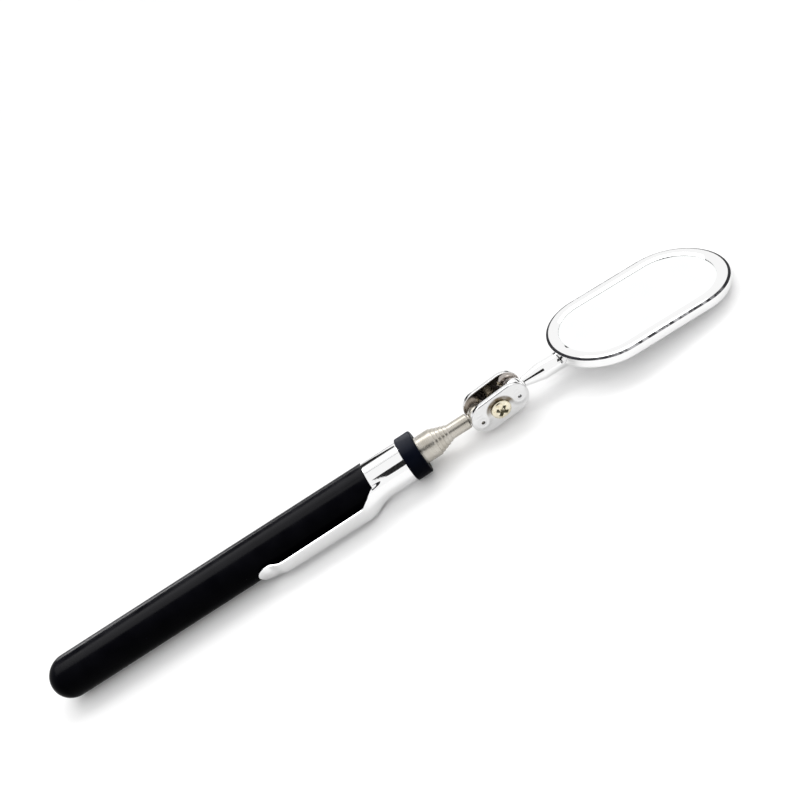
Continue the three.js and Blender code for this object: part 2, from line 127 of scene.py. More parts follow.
CAMERA_AZIMUTH = math.radians(4.41)
CAMERA_ELEVATION = math.radians(37.48)
CAMERA_ROLL = math.radians(35.66)
CAMERA_DISTANCE = 0.199
CAMERA_LENS = 31.6
CAMERA_AIM = Vector((0.0179, -0.0020, 0.0259))
CAMERA_SENSOR = 36  # mm
CAMERA_NEAREST = 0.005

WORLD_STRENGTH = 1.08
FLOOR_REACH = 6.0
FLOOR_DROP = 0.00005  # the floor's gap under the tool
FLOOR_COLOR = (0.93, 0.93, 0.93)

LIGHT_TARGET = Vector((0.02, 0, 0.01))
LIGHT_DISTANCE = 0.9
# name, azimuth, elevation, width, depth, watts
SOFT_LIGHTS = (
    ("back_softbox", 172, 60, 1.3, 0.35, 3.0),
    ("vinyl_back", 180, 28, 1.6, 0.8, 75.0),
    ("vinyl_top", 180, 76, 1.6, 0.8, 75.0),
)
VINYL_LIGHTS = ("vinyl_back", "vinyl_top")

CARD_TARGET_X = 0.01
CARD_TARGET_Z = 0.01
CARD_DISTANCE = 0.6
CARD_CORNER = 0.09  # corner radius, as a share of the shorter side
CARD_CORNER_STEPS = 6
CARD_BLACK = (0.004, 0.004, 0.004)
CARD_GREY = (0.35, 0.35, 0.36)
# name, azimuth, elevation, distance, width, depth, shift of its target along X
BLACK_CARDS = (
    ("card_camera", 9.2, 37.5, 0.2, 0.13, 0.1, 0),
    ("card_right", 122, 6, CARD_DISTANCE, 0.42, 0.17, 0),
    ("card_left", -148, 26, CARD_DISTANCE, 0.5, 0.3, 0),
)
GREY_CARDS = (
    ("card_back_line", 180, 47, CARD_DISTANCE, 0.2, 0.02, -0.08),
    ("card_top_line", 180, 83, CARD_DISTANCE, 0.16, 0.02, -0.08),
    ("card_back_low", -170, 4, CARD_DISTANCE, 0.35, 0.06, 0),
)


def back_from(azimuth, elevation):
    """Unit vector from the object towards a viewer at that azimuth and elevation."""
    flat = math.cos(elevation)
    return Vector((math.sin(azimuth) * flat, -math.cos(azimuth) * flat, math.sin(elevation)))


def make_camera():
    data = bpy.data.cameras.new("camera")
    data.sensor_width = CAMERA_SENSOR
    data.lens = CAMERA_LENS
    data.clip_start = CAMERA_NEAREST
    camera = bpy.data.objects.new("camera", data)
    bpy.context.collection.objects.link(camera)
    back = back_from(CAMERA_AZIMUTH, CAMERA_ELEVATION)
    right = Vector((math.cos(CAMERA_AZIMUTH), math.sin(CAMERA_AZIMUTH), 0))
    up = back.cross(right)
    rolled_right = math.cos(CAMERA_ROLL) * right - math.sin(CAMERA_ROLL) * up
    rolled_up = math.sin(CAMERA_ROLL) * right + math.cos(CAMERA_ROLL) * up
    turn = Matrix((rolled_right, rolled_up, back)).transposed().to_4x4()
    camera.matrix_world = Matrix.Translation(CAMERA_AIM + back * CAMERA_DISTANCE) @ turn
    bpy.context.scene.camera = camera


def facing(location, target):
    """Matrix of an object at location whose local -Z points at target."""
    back = (Vector(location) - Vector(target)).normalized()
    return Matrix.Translation(location) @ back.to_track_quat("Z", "Y").to_matrix().to_4x4()


def soft_light(name, azimuth, elevation, width, depth, power):
    data = bpy.data.lights.new(name, "AREA")
    data.shape = "RECTANGLE"
    data.size = width
    data.size_y = depth
    data.energy = power
    light = bpy.data.objects.new(name, data)
    bpy.context.collection.objects.link(light)
    back = back_from(math.radians(azimuth), math.radians(elevation))
    light.matrix_world = facing(LIGHT_TARGET + back * LIGHT_DISTANCE, LIGHT_TARGET)


def plain_material(name, color, roughness):
    material = bpy.data.materials.new(name)
    material.use_nodes = True
    shader = material.node_tree.nodes["Principled BSDF"]
    shader.inputs["Base Color"].default_value = (*color, 1)
    shader.inputs["Roughness"].default_value = roughness
    return material


def card(material, name, azimuth, elevation, distance, width, depth, shift):
    """A card with round corners that only reflections see."""
    radius = min(width, depth) * CARD_CORNER
    corners = []
    for quarter, (side, end) in enumerate(((1, 1), (-1, 1), (-1, -1), (1, -1))):
        for step in range(CARD_CORNER_STEPS + 1):
            angle = math.pi / 2 * (quarter + step / CARD_CORNER_STEPS)
            x = side * (width / 2 - radius) + radius * math.cos(angle)
            y = end * (depth / 2 - radius) + radius * math.sin(angle)
            corners.append((x, y, 0))
    mesh = bpy.data.meshes.new(name)
    mesh.from_pydata(corners, [], [tuple(range(len(corners)))])
    mesh.materials.append(material)
    piece = bpy.data.objects.new(name, mesh)
    bpy.context.collection.objects.link(piece)
    target = Vector((CARD_TARGET_X + shift, 0, CARD_TARGET_Z))
    back = back_from(math.radians(azimuth), math.radians(elevation))
    piece.matrix_world = facing(target + back * distance, target)
    piece.visible_camera = False
    piece.visible_shadow = False
    piece.visible_diffuse = False


def make_studio():
    scene = bpy.context.scene
    scene.view_settings.view_transform = "Standard"
    world = bpy.data.worlds.new("studio")
    world.use_nodes = True
    background = world.node_tree.nodes["Background"]
    background.inputs["Color"].default_value = (1.0, 1.0, 1.0, 1)
    background.inputs["Strength"].default_value = WORLD_STRENGTH
    scene.world = world
    for light in SOFT_LIGHTS:
        soft_light(*light)

    mesh = bpy.data.meshes.new("floor")
    reach = FLOOR_REACH
    mesh.from_pydata(
        [(-reach, -reach, 0), (reach, -reach, 0), (reach, reach, 0), (-reach, reach, 0)],
        [],
        [(0, 1, 2, 3)],
    )
    mesh.materials.append(plain_material("floor_white", FLOOR_COLOR, 0.6))
    floor = bpy.data.objects.new("floor", mesh)
    bpy.context.collection.objects.link(floor)
    floor.location.z = cad_low[2] - FLOOR_DROP

    black = plain_material("card_black", CARD_BLACK, 0.9)
    grey = plain_material("card_grey", CARD_GREY, 0.9)
    for row in BLACK_CARDS:
        card(black, *row)
    for row in GREY_CARDS:
        card(grey, *row)


# ------------------------------------------------------------------ materials


def shader_material(name, color, roughness, metallic=0.0):
    material = bpy.data.materials.new(name)
    material.use_nodes = True
    shader = material.node_tree.nodes["Principled BSDF"]
    shader.inputs["Base Color"].default_value = (*color, 1)
    shader.inputs["Roughness"].default_value = roughness
    shader.inputs["Metallic"].default_value = metallic
    return material, shader


def object_noise(material, scale, stretch=(1, 1, 1), detail=3.0):
    """A noise texture on object coordinates. scale is in lumps per metre."""
    nodes, links = material.node_tree.nodes, material.node_tree.links
    mapping = nodes.new("ShaderNodeMapping")
    mapping.inputs["Scale"].default_value = stretch
    texture = nodes.new("ShaderNodeTexNoise")
    texture.inputs["Scale"].default_value = scale
    texture.inputs["Detail"].default_value = detail
    texture.inputs["Roughness"].default_value = 0.5
    links.new(object_place(material), mapping.inputs["Vector"])
    links.new(mapping.outputs["Vector"], texture.inputs["Vector"])
    return texture.outputs["Fac"]


def ranged(material, value, lowest, highest, start=0.3, end=0.7):
    """value, spread from lowest to highest."""
    spread = material.node_tree.nodes.new("ShaderNodeMapRange")
    spread.inputs["From Min"].default_value = start
    spread.inputs["From Max"].default_value = end
    spread.inputs["To Min"].default_value = lowest
    spread.inputs["To Max"].default_value = highest
    material.node_tree.links.new(value, spread.inputs["Value"])
    return spread.outputs["Result"]


def vary_roughness(material, shader, value, lowest, highest):
    result = ranged(material, value, lowest, highest)
    material.node_tree.links.new(result, shader.inputs["Roughness"])


def vary_color(material, shader, value, dark, light):
    nodes, links = material.node_tree.nodes, material.node_tree.links
    ramp = nodes.new("ShaderNodeValToRGB")
    ramp.color_ramp.elements[0].position = 0.3
    ramp.color_ramp.elements[0].color = (*dark, 1)
    ramp.color_ramp.elements[1].position = 0.7
    ramp.color_ramp.elements[1].color = (*light, 1)
    links.new(value, ramp.inputs["Fac"])
    links.new(ramp.outputs["Color"], shader.inputs["Base Color"])


def computed(material, kind, operation, *operands):
    """A math node. Each operand is a socket or a constant."""
    node = material.node_tree.nodes.new(kind)
    node.operation = operation
    for socket, operand in zip(node.inputs, operands):
        if isinstance(operand, bpy.types.NodeSocket):
            material.node_tree.links.new(operand, socket)
        else:
            socket.default_value = operand
    return node.outputs


def number(material, operation, *operands):
    return computed(material, "ShaderNodeMath", operation, *operands)["Value"]


def vector(material, operation, *operands):
    return computed(material, "ShaderNodeVectorMath", operation, *operands)


def object_place(material):
    return material.node_tree.nodes.new("ShaderNodeTexCoord").outputs["Object"]


def mix_color(material, shader, share, first, second):
    """Base colour that goes from first to second with share."""
    mixed = material.node_tree.nodes.new("ShaderNodeMix")
    mixed.data_type = "RGBA"
    mixed.inputs["A"].default_value = (*first, 1)
    mixed.inputs["B"].default_value = (*second, 1)
    material.node_tree.links.new(share, mixed.inputs["Factor"])
    material.node_tree.links.new(mixed.outputs["Result"], shader.inputs["Base Color"])


def add_bumps(material, shader, bumps):
    """bumps are (value, height in metres) pairs, laid one over the other."""
    nodes, links = material.node_tree.nodes, material.node_tree.links
    normal = None
    for value, height in bumps:
        bump = nodes.new("ShaderNodeBump")
        bump.inputs["Strength"].default_value = 1.0
        bump.inputs["Distance"].default_value = height
        links.new(value, bump.inputs["Height"])
        if normal is not None:
            links.new(normal, bump.inputs["Normal"])
        normal = bump.outputs["Normal"]
    links.new(normal, shader.inputs["Normal"])


def make_vinyl():
    """Dipped vinyl: near black, soft gloss, a fine grain and slow waves left by the dip."""
    material, shader = shader_material("black_vinyl", (0.0004, 0.0004, 0.0006), 0.2)
    shader.inputs["Specular IOR Level"].default_value = 0.009
    grain = object_noise(material, 2600, detail=4)
    waves = object_noise(material, 90, (0.3, 1, 1), detail=1)
    handled = object_noise(material, 160, detail=5)
    vary_color(material, shader, handled, (0.0002, 0.0002, 0.0004), (0.0006, 0.0006, 0.0009))
    vary_roughness(material, shader, handled, 0.16, 0.26)
    add_bumps(material, shader, [(grain, 0.000005), (waves, 0.00003)])
    return material


def make_cap_plastic():
    """Moulded plastic of the end cap, a little duller and greyer than the vinyl."""
    material, shader = shader_material("cap_plastic", (0.0007, 0.0009, 0.002), 0.3)
    shader.inputs["Specular IOR Level"].default_value = 0.012
    grain = object_noise(material, 4200, detail=3)
    cloud = object_noise(material, 300, detail=3)
    vary_color(material, shader, cloud, (0.0004, 0.0006, 0.0016), (0.0009, 0.0012, 0.0026))
    vary_roughness(material, shader, cloud, 0.34, 0.46)
    add_bumps(material, shader, [(grain, 0.00001)])
    return material


def make_chrome(name, color, roughness, wave):
    """Bright plate: nearly a mirror, with faint orange peel and wiped-over smears."""
    material, shader = shader_material(name, color, roughness, 1.0)
    peel = object_noise(material, 420, detail=2)
    smears = object_noise(material, 240, (1, 2.5, 1), detail=4)
    vary_roughness(material, shader, smears, roughness * 0.7, roughness * 1.6)
    add_bumps(material, shader, [(peel, wave)])
    return material


SCREW_REFLECTION_REACH = 0.007  # how far from the screw's axis the painted ring that stands for the head's reflection is measured
SCREW_REFLECTION_FULL = 0.58  # shares of that reach
SCREW_REFLECTION_GONE = 0.68


def make_plate_chrome():
    """Uneven barrel-plated chrome of the clamp plates, with a painted brown reflection of the
    screw's head just above the head.
    """
    plain, head_reflection_color = (0.72, 0.72, 0.72), (0.13, 0.1, 0.062)
    material, shader = shader_material("plate_chrome", plain, 0.12, 1.0)
    nodes, links = material.node_tree.nodes, material.node_tree.links
    peel = object_noise(material, 380, detail=2)
    ripple = object_noise(material, 900, detail=3)
    smears = object_noise(material, 500, detail=4)
    vary_roughness(material, shader, smears, 0.08, 0.22)
    add_bumps(material, shader, [(peel, 0.00007), (ripple, 0.00002)])

    # Painted reflection: a brown ring on the plate just above the screw's head stands for the
    # head's reflection in the plate.
    screw = (BALL_1 + BALL_2) / 2
    from_screw = vector(material, "SUBTRACT", object_place(material), screw)["Vector"]
    level = vector(material, "MULTIPLY", from_screw, (1, 0, 1))["Vector"]
    away = vector(material, "LENGTH", level)["Value"]
    ring = nodes.new("ShaderNodeValToRGB")
    ring.color_ramp.interpolation = "EASE"
    ring.color_ramp.elements[0].position = SCREW_REFLECTION_FULL
    ring.color_ramp.elements[0].color = (1, 1, 1, 1)
    ring.color_ramp.elements[1].position = SCREW_REFLECTION_GONE
    ring.color_ramp.elements[1].color = (0, 0, 0, 1)
    links.new(ranged(material, away, 0, 1, 0, SCREW_REFLECTION_REACH), ring.inputs["Fac"])
    height = nodes.new("ShaderNodeSeparateXYZ")
    links.new(from_screw, height.inputs["Vector"])
    above = ranged(material, height.outputs["Z"], 0, 1, -0.0006, 0.0012)
    patchy = ranged(material, smears, 0.7, 1.0, 0.35, 0.6)
    amount = number(material, "MULTIPLY", ring.outputs["Color"], above)
    share = number(material, "MULTIPLY", amount, patchy)
    mix_color(material, shader, share, plain, head_reflection_color)
    return material


def make_nickel():
    """Satin nickel of the tubes, drawn along their length, with fine turned lines round them."""
    material, shader = shader_material("satin_nickel", (0.52, 0.49, 0.44), 0.26, 1.0)
    lines = object_noise(material, 900, (6, 0.15, 0.15), detail=3)
    tarnish = object_noise(material, 260, detail=3)
    vary_color(material, shader, tarnish, (0.46, 0.43, 0.375), (0.57, 0.545, 0.5))
    vary_roughness(material, shader, lines, 0.24, 0.36)
    add_bumps(material, shader, [(lines, 0.000026)])
    return material


def make_zinc():
    """Pale yellow zinc plate of the screw, mottled and slightly dull."""
    material, shader = shader_material("yellow_zinc", (0.75, 0.66, 0.42), 0.24, 1.0)
    mottle = object_noise(material, 1400, detail=4)
    vary_color(material, shader, mottle, (0.66, 0.58, 0.4), (0.9, 0.86, 0.72))
    vary_roughness(material, shader, mottle, 0.16, 0.34)
    add_bumps(material, shader, [(mottle, 0.00001)])
    return material


def make_mirror_silver():
    """Silvered glass seen through its clean front."""
    material, shader = shader_material("mirror_silver", (0.93, 0.95, 0.945), 0.01, 1.0)
    haze = object_noise(material, 130, detail=4)
    vary_color(material, shader, haze, (0.92, 0.94, 0.935), (0.94, 0.96, 0.955))
    vary_roughness(material, shader, haze, 0.004, 0.016)
    return material


def make_painted_inside_shade():
    """Painted shade on the inner face of the plate under the screw's head: near black and blotchy.
    """
    material, shader = shader_material("painted_inside_shade", (0.03, 0.026, 0.022), 0.5, 0.6)
    blotches = object_noise(material, 500, detail=4)
    vary_color(material, shader, blotches, (0.012, 0.01, 0.009), (0.05, 0.043, 0.036))
    vary_roughness(material, shader, blotches, 0.35, 0.6)
    return material


def make_inside_steel():
    """Bare, oily steel inside the far clamp plate, bright enough to show the balls."""
    material, shader = shader_material("inside_steel", (0.4, 0.36, 0.33), 0.16, 1.0)
    blotches = object_noise(material, 500, detail=4)
    vary_color(material, shader, blotches, (0.42, 0.38, 0.35), (0.52, 0.48, 0.45))
    vary_roughness(material, shader, blotches, 0.07, 0.13)
    add_bumps(material, shader, [(blotches, 0.00001)])
    return material


def make_painted_recess_shade():
    """Painted shade: a dark, blotchy colour for the corners of a recess."""
    material, shader = shader_material("painted_recess_shade", (0.05, 0.045, 0.03), 0.5)
    shader.inputs["Specular IOR Level"].default_value = 0.2
    blots = object_noise(material, 1600, detail=3)
    vary_color(material, shader, blots, (0.05, 0.045, 0.024), (0.24, 0.22, 0.14))
    vary_roughness(material, shader, blots, 0.4, 0.6)
    return material


def make_painted_lip_reflection():
    """Painted dark reflection round the outer edge of the frame's lip: broken along the sides,
    whole at the ends.
    """
    material, shader = shader_material("painted_lip_reflection", (0.1, 0.1, 0.11), 0.5, 0.7)
    broken = object_noise(material, 700, (1, 0.4, 1), detail=2)
    shade = ranged(material, broken, 0.03, 0.5, 0.42, 0.58)
    split = material.node_tree.nodes.new("ShaderNodeSeparateXYZ")
    material.node_tree.links.new(object_place(material), split.inputs["Vector"])
    centre = (ON_MIRROR @ Vector((MIRROR_CENTRE, 0, 0))).x
    away = number(material, "SUBTRACT", split.outputs["X"], centre)
    reach = number(material, "ABSOLUTE", away)
    sides = ranged(material, reach, 1.0, 0.04, 0.012, 0.022)
    share = number(material, "MULTIPLY", shade, sides)
    mix_color(material, shader, share, (0.012, 0.012, 0.016), (0.8, 0.8, 0.82))
    return material


def make_brass():
    material, shader = shader_material("bush_brass", (0.7, 0.5, 0.24), 0.3, 1.0)
    lines = object_noise(material, 900, (6, 0.15, 0.15), detail=3)
    vary_color(material, shader, lines, (0.6, 0.42, 0.19), (0.76, 0.56, 0.29))
    vary_roughness(material, shader, lines, 0.24, 0.4)
    add_bumps(material, shader, [(lines, 0.00001)])
    return material


def make_foam():
    material, shader = shader_material("pad_foam", (0.05, 0.05, 0.055), 0.9)
    cells = object_noise(material, 3000, detail=2)
    vary_color(material, shader, cells, (0.03, 0.03, 0.033), (0.07, 0.07, 0.075))
    add_bumps(material, shader, [(cells, 0.0001)])
    return material


# ------------------------------------------------------------------ mesh helpers


def filleted(points):
    """A polyline whose corners are rounded. Each point is (x, y) or (x, y, fillet radius)."""
    corners = [Vector(point[:2]) for point in points]
    result = [corners[0]]
    for before, corner, after, point in zip(corners, corners[1:], corners[2:], points[1:]):
        radius = point[2] if len(point) > 2 else 0
        into = (before - corner).normalized()
        out = (after - corner).normalized()
        angle = into.angle(out)
        if radius <= 0 or angle > math.radians(179):
            result.append(corner)
            continue
        setback = radius / math.tan(angle / 2)
        limit = 0.49 * min((before - corner).length, (after - corner).length)
        if setback > limit:
            setback = limit
            radius = setback * math.tan(angle / 2)
        centre = corner + (into + out).normalized() * (radius / math.sin(angle / 2))
        start = corner + into * setback - centre
        sweep = start.angle_signed(corner + out * setback - centre)
        for step in range(STEPS + 1):
            turn = Matrix.Rotation(-sweep * step / STEPS, 2)
            result.append(centre + turn @ start)
    result.append(corners[-1])
    return [(point.x, point.y) for point in result]


def arc(centre, radius, start, end, steps=24):
    """Points of an arc about (centre, 0). Angles are in degrees from the X axis."""
    points = []
    for step in range(steps + 1):
        angle = math.radians(start + (end - start) * step / steps)
        points.append((centre + radius * math.cos(angle), radius * math.sin(angle)))
    return points


def finish_mesh(name, verts, faces, place, material, sharp=SHARP):
    mesh = bpy.data.meshes.new(name)
    mesh.from_pydata([place @ Vector(v) for v in verts], [], faces)
    work = bmesh.new()
    work.from_mesh(mesh)
    bmesh.ops.remove_doubles(work, verts=work.verts, dist=WELD)
    bmesh.ops.recalc_face_normals(work, faces=work.faces)
    work.to_mesh(mesh)
    work.free()
    mesh.shade_smooth()
    mesh.set_sharp_from_angle(angle=math.radians(sharp))
    mesh.materials.append(material)
    piece = bpy.data.objects.new(name, mesh)
    bpy.context.collection.objects.link(piece)
    return piece


def stadium_ring(radius, straight, arc_steps, side_steps):
    """An outline with round ends and two straight sides, as (x, y) points."""
    points = []
    for side in (1, -1):
        for step in range(arc_steps):
            angle = math.pi * (step / arc_steps - 0.5)
            x = straight / 2 + radius * math.cos(angle)
            points.append((side * x, side * radius * math.sin(angle)))
        for step in range(side_steps):
            x = straight * (0.5 - step / side_steps)
            points.append((side * x, side * radius))
    return points


def loft(rings):
    """Vertices and quads between closed rings of equal length."""
    count = len(rings[0])
    verts = [vert for ring in rings for vert in ring]
    faces = []
    for row in range(len(rings) - 1):
        for step in range(count):
            after = (step + 1) % count
            here, there = row * count, (row + 1) * count
            faces.append((here + step, here + after, there + after, there + step))
    return verts, faces


def turned(name, profile, place, material, sharp=SHARP, sides=ROUND):
    """A solid of revolution about local X. profile is (position along X, radius) in mm."""
    rings = []
    for x, radius in profile:
        ring = []
        for step in range(sides):
            angle = 2 * math.pi * step / sides
            reach = max(radius, AXIS_RADIUS)
            ring.append((x, reach * math.cos(angle), reach * math.sin(angle)))
        rings.append(ring)
    verts, faces = loft(rings)
    return finish_mesh(name, verts, faces, place, material, sharp)


def stadium_solid(name, profile, straight, place, material, sharp=SHARP, arc_steps=80):
    """Like turned, about local Z, on an outline with straight sides. profile is (radius, z)."""
    rings = []
    for radius, z in profile:
        outline = stadium_ring(radius, straight, arc_steps, SIDE_STEPS)
        rings.append([(x, y, z) for x, y in outline])
    verts, faces = loft(rings)
    count = len(rings[0])
    last = (len(rings) - 1) * count
    faces.append(tuple(range(count)))
    faces.append(tuple(range(last + count - 1, last - 1, -1)))
    return finish_mesh(name, verts, faces, place, material, sharp)


def apply_modifiers(piece):
    depsgraph = bpy.context.evaluated_depsgraph_get()
    finished = bpy.data.meshes.new_from_object(piece.evaluated_get(depsgraph))
    piece.modifiers.clear()
    piece.data = finished


def carve(piece, *tools):
    """Cuts the tools out of the piece and removes them."""
    for tool in tools:
        modifier = piece.modifiers.new("carve", "BOOLEAN")
        modifier.operation = "DIFFERENCE"
        modifier.solver = "EXACT"
        modifier.object = tool
    apply_modifiers(piece)
    for tool in tools:
        bpy.data.objects.remove(tool)


def smooth(piece):
    piece.data.shade_smooth()
    piece.data.set_sharp_from_angle(angle=math.radians(CUT_SHARP))


def soften(piece, width, segments=3, angle=35):
    """Bevels a piece's sharp edges. width is in mm."""
    modifier = piece.modifiers.new("soften", "BEVEL")
    modifier.width = width * MM
    modifier.segments = segments
    modifier.limit_method = "ANGLE"
    modifier.angle_limit = math.radians(angle)
    modifier.use_clamp_overlap = True
    modifier.harden_normals = False
    apply_modifiers(piece)
    smooth(piece)


def stands_for(piece, node, body):
    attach(piece, body)
    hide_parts(node)


# ------------------------------------------------------------------ handle


TUBE_BORE = 6.16  # of the sleeve and the end cap, on the handle tube
BUTT_LENGTH = 6.0
BUTT_STEPS = 40
SLEEVE_END_RADIUS = 6.75
SLEEVE_STEPS = 24
SLEEVE_LIP = 1.6
SLEEVE_EDGE = 0.35
SLEEVE_BORE_DEPTH = 8  # how deep the bore is open to sight
CAP_MOUTH = 4.7
CAP_WALL = 1.9


def make_sleeve(vinyl):
    """Grip sleeve: blunt round butt, slight taper, and a lip rolled over at the collar end."""
    butt_radius = radius_of("grip_sleeve")
    end = along("grip_sleeve", 1)
    dome = []
    for step in range(BUTT_STEPS + 1):
        angle = math.pi / 2 * step / BUTT_STEPS
        dome.append((BUTT_LENGTH * (1 - math.cos(angle)), butt_radius * math.sin(angle)))
    body = []
    for step in range(1, SLEEVE_STEPS):
        share = step / SLEEVE_STEPS
        x = BUTT_LENGTH + (end - SLEEVE_LIP - BUTT_LENGTH) * share
        body.append((x, butt_radius + (SLEEVE_END_RADIUS - butt_radius) * share))
    edge = filleted([
        (end - SLEEVE_LIP, SLEEVE_END_RADIUS),
        (end, SLEEVE_END_RADIUS, SLEEVE_EDGE),
        (end, TUBE_BORE),
    ])
    inside = [(end - SLEEVE_BORE_DEPTH, TUBE_BORE), (end - SLEEVE_BORE_DEPTH, 0)]
    profile = dome + body + edge + inside
    piece = turned("sleeve_skin", profile, ON_HANDLE, vinyl, sharp=50)
    stands_for(piece, "grip_sleeve", "handle")


def make_end_cap(plastic):
    start, end = along("end_cap", 0), along("end_cap", 1)
    outer = radius_of("end_cap")
    profile = filleted([
        (start, TUBE_BORE),
        (start, outer, 0.5),
        (end, outer, 0.55),
        (end, CAP_MOUTH, 0.25),
        (end - CAP_WALL, CAP_MOUTH),
        (end - CAP_WALL, TUBE_BORE),
        (start, TUBE_BORE),
    ])
    piece = turned("cap_shell", profile, ON_HANDLE, plastic, sharp=50)
    stands_for(piece, "end_cap", "handle")


CLIP_TIP = along("pocket_clip", 0)
CLIP_SLOPE = math.radians(15)  # below the horizontal, seen along the axis
CLIP_BEND_END = 110.6
CLIP_BEND_START = 120.6
BAND_MIDDLE = 6.425
STRAP_HEIGHT = 8.7
SPOON_DROP = 1.36
SPOON_RADIUS = 3.6
WAIST = 2.9
STRAP_ROOT = 3.4
FLARE = 4.9
SHEET_THICKNESS = 0.56
SPOON_DIP = 4.2  # from the tip to where the strap starts to rise
SPOON_RISE = 2.4  # how gently it rises
BUTTON_RADIUS = 2.0
BUTTON_HEIGHT = 0.4
CROWN_HEIGHT = 0.16
CROWN_DROP = 0.08
CAP_GAP = 0.05  # between the band and the end cap
STRAP_COLUMNS, BAND_COLUMNS = 24, 96
BAND_ROWS, STRAP_ROWS = 30, 110
ROOT_ANGLE = FLARE / BAND_MIDDLE


def smoothstep(x, start, end):
    share = min(max((x - start) / (end - start), 0.0), 1.0)
    return share * share * (3 - 2 * share)


def mix(a, b, share):
    return a + (b - a) * share


def clip_half_width(x, edge):
    """Half the strap's width. edge is where the band ends and the strap leaves it."""
    centre = CLIP_TIP + SPOON_RADIUS
    if x < centre:
        return math.sqrt(max(SPOON_RADIUS**2 - (centre - x) ** 2, 0.01))
    plain = mix(WAIST, STRAP_ROOT, min((x - centre) / (CLIP_BEND_END - centre), 1))
    strap = mix(SPOON_RADIUS, plain, smoothstep(x, centre, centre + 1.6 * SPOON_RADIUS))
    return mix(strap, FLARE, smoothstep(x, CLIP_BEND_END, edge))


def clip_height(x):
    """Distance of the sheet's middle from the handle's axis along the strap's centreline."""
    strap = mix(STRAP_HEIGHT, BAND_MIDDLE, smoothstep(x, CLIP_BEND_END, CLIP_BEND_START))
    spoon = math.exp(-((max(x - CLIP_TIP - SPOON_DIP, 0) / SPOON_RISE) ** 2))
    return strap - SPOON_DROP * spoon


def rolled_radius(height, angle):
    """Radius of the sheet's middle where the strap's root blends into the band."""
    share = 1 - smoothstep(abs(angle), ROOT_ANGLE * 0.95, ROOT_ANGLE * 1.1)
    return BAND_MIDDLE + (height - BAND_MIDDLE) * share


def band_point(x, angle):
    radius = rolled_radius(clip_height(x), angle)
    return (x, radius * math.sin(angle), radius * math.cos(angle))


def strap_point(x, share, edge):
    """A point of the strap. share runs from -1 to 1 across it."""
    height = clip_height(x)
    across = share * clip_half_width(x, edge)
    curl = smoothstep(x, CLIP_BEND_END, edge)
    angle = across / BAND_MIDDLE
    radius = rolled_radius(height, angle)
    button = math.exp(-(((x - CLIP_TIP - SPOON_RADIUS) / BUTTON_RADIUS) ** 2))
    crown = (CROWN_HEIGHT * (1 - curl) + BUTTON_HEIGHT * button) * (1 - share**2)
    return (
        x,
        mix(across, radius * math.sin(angle), curl),
        mix(height + crown - CROWN_DROP, radius * math.cos(angle), curl),
    )


def across_strap(column):
    return -1 + 2 * column / STRAP_COLUMNS


def make_clip(chrome):
    """Pocket clip: one sheet, rolled into a band at its root and drawn out into a strap. Columns
    of the sheet run along the handle. All of them go round the band, and the strap's go on."""
    edge, end = along("grip_sleeve", 1), along("end_cap", 0) - CAP_GAP
    angles = [across_strap(column) * ROOT_ANGLE for column in range(STRAP_COLUMNS + 1)]
    for column in range(1, BAND_COLUMNS):
        angles.append(ROOT_ANGLE + (2 * math.pi - 2 * ROOT_ANGLE) * column / BAND_COLUMNS)
    rings = []
    for row in range(BAND_ROWS + 1):
        x = mix(end, edge, row / BAND_ROWS)
        folded = [angle if angle <= math.pi else angle - 2 * math.pi for angle in angles]
        rings.append([band_point(x, angle) for angle in folded])
    verts, faces = loft(rings)
    previous = [BAND_ROWS * len(angles) + column for column in range(STRAP_COLUMNS + 1)]
    for row in range(1, STRAP_ROWS + 1):
        share = row / STRAP_ROWS
        x = mix(edge, CLIP_TIP + 0.02, share * (1.35 - 0.35 * share))
        current = []
        for column in range(STRAP_COLUMNS + 1):
            current.append(len(verts))
            verts.append(strap_point(x, across_strap(column), edge))
        for i in range(STRAP_COLUMNS):
            faces.append((previous[i], previous[i + 1], current[i + 1], current[i]))
        previous = current
    # drawn above the axis, then swung to the -Y side and below the horizontal
    swing = Matrix.Rotation(math.pi / 2 + CLIP_SLOPE, 4, "X")
    piece = finish_mesh("clip_sheet", verts, faces, ON_HANDLE @ swing, chrome, sharp=180)
    thickness = piece.modifiers.new("thickness", "SOLIDIFY")
    thickness.thickness = SHEET_THICKNESS * MM
    thickness.offset = 0
    thickness.use_even_offset = True
    apply_modifiers(piece)
    soften(piece, 0.13, segments=3, angle=50)
    stands_for(piece, "pocket_clip", "handle")


# ------------------------------------------------------------------ telescoping tubes

WALL = 0.2
CRIMP = 0.9
LIP_GAP = 0.05  # between a mouth and the next tube
ROD_BORE = 1.25
ROD_BORE_DEPTH = 5.9


def make_section(index, nickel):
    """A thin tube whose mouth is rolled in almost to the next tube."""
    node = f"section_{index}"
    start, mouth = along(node, 0), along(node, 1)
    outer = radius_of(node)
    lip = radius_of(f"section_{index + 1}") + LIP_GAP
    inner = outer - WALL
    profile = filleted([
        (start, inner),
        (start, outer, 0.05),
        (mouth - 0.62, outer, 0.6),
        (mouth - 0.1, lip + 0.2, 0.2),
        (mouth, lip + 0.08, 0.05),
        (mouth, lip, 0.03),
        (mouth - 0.45, lip, 0.1),
        (mouth - CRIMP, inner, 0.3),
        (start, inner),
    ])
    piece = turned(f"tube_{index}", profile, ON_HANDLE, nickel, sharp=40)
    stands_for(piece, node, node)


def make_rod(nickel):
    node = "section_6"
    start, end = along(node, 0), along(node, 1)
    outer = radius_of(node)
    profile = filleted([
        (start, 0),
        (start, outer, 0.3),
        (end, outer, 0.35),
        (end, ROD_BORE, 0.1),
        (end - ROD_BORE_DEPTH, ROD_BORE),
        (end - ROD_BORE_DEPTH, 0),
    ])
    piece = turned("rod_body", profile, ON_HANDLE, nickel, sharp=40)
    stands_for(piece, node, node)


# ------------------------------------------------------------------ two-ball clamp

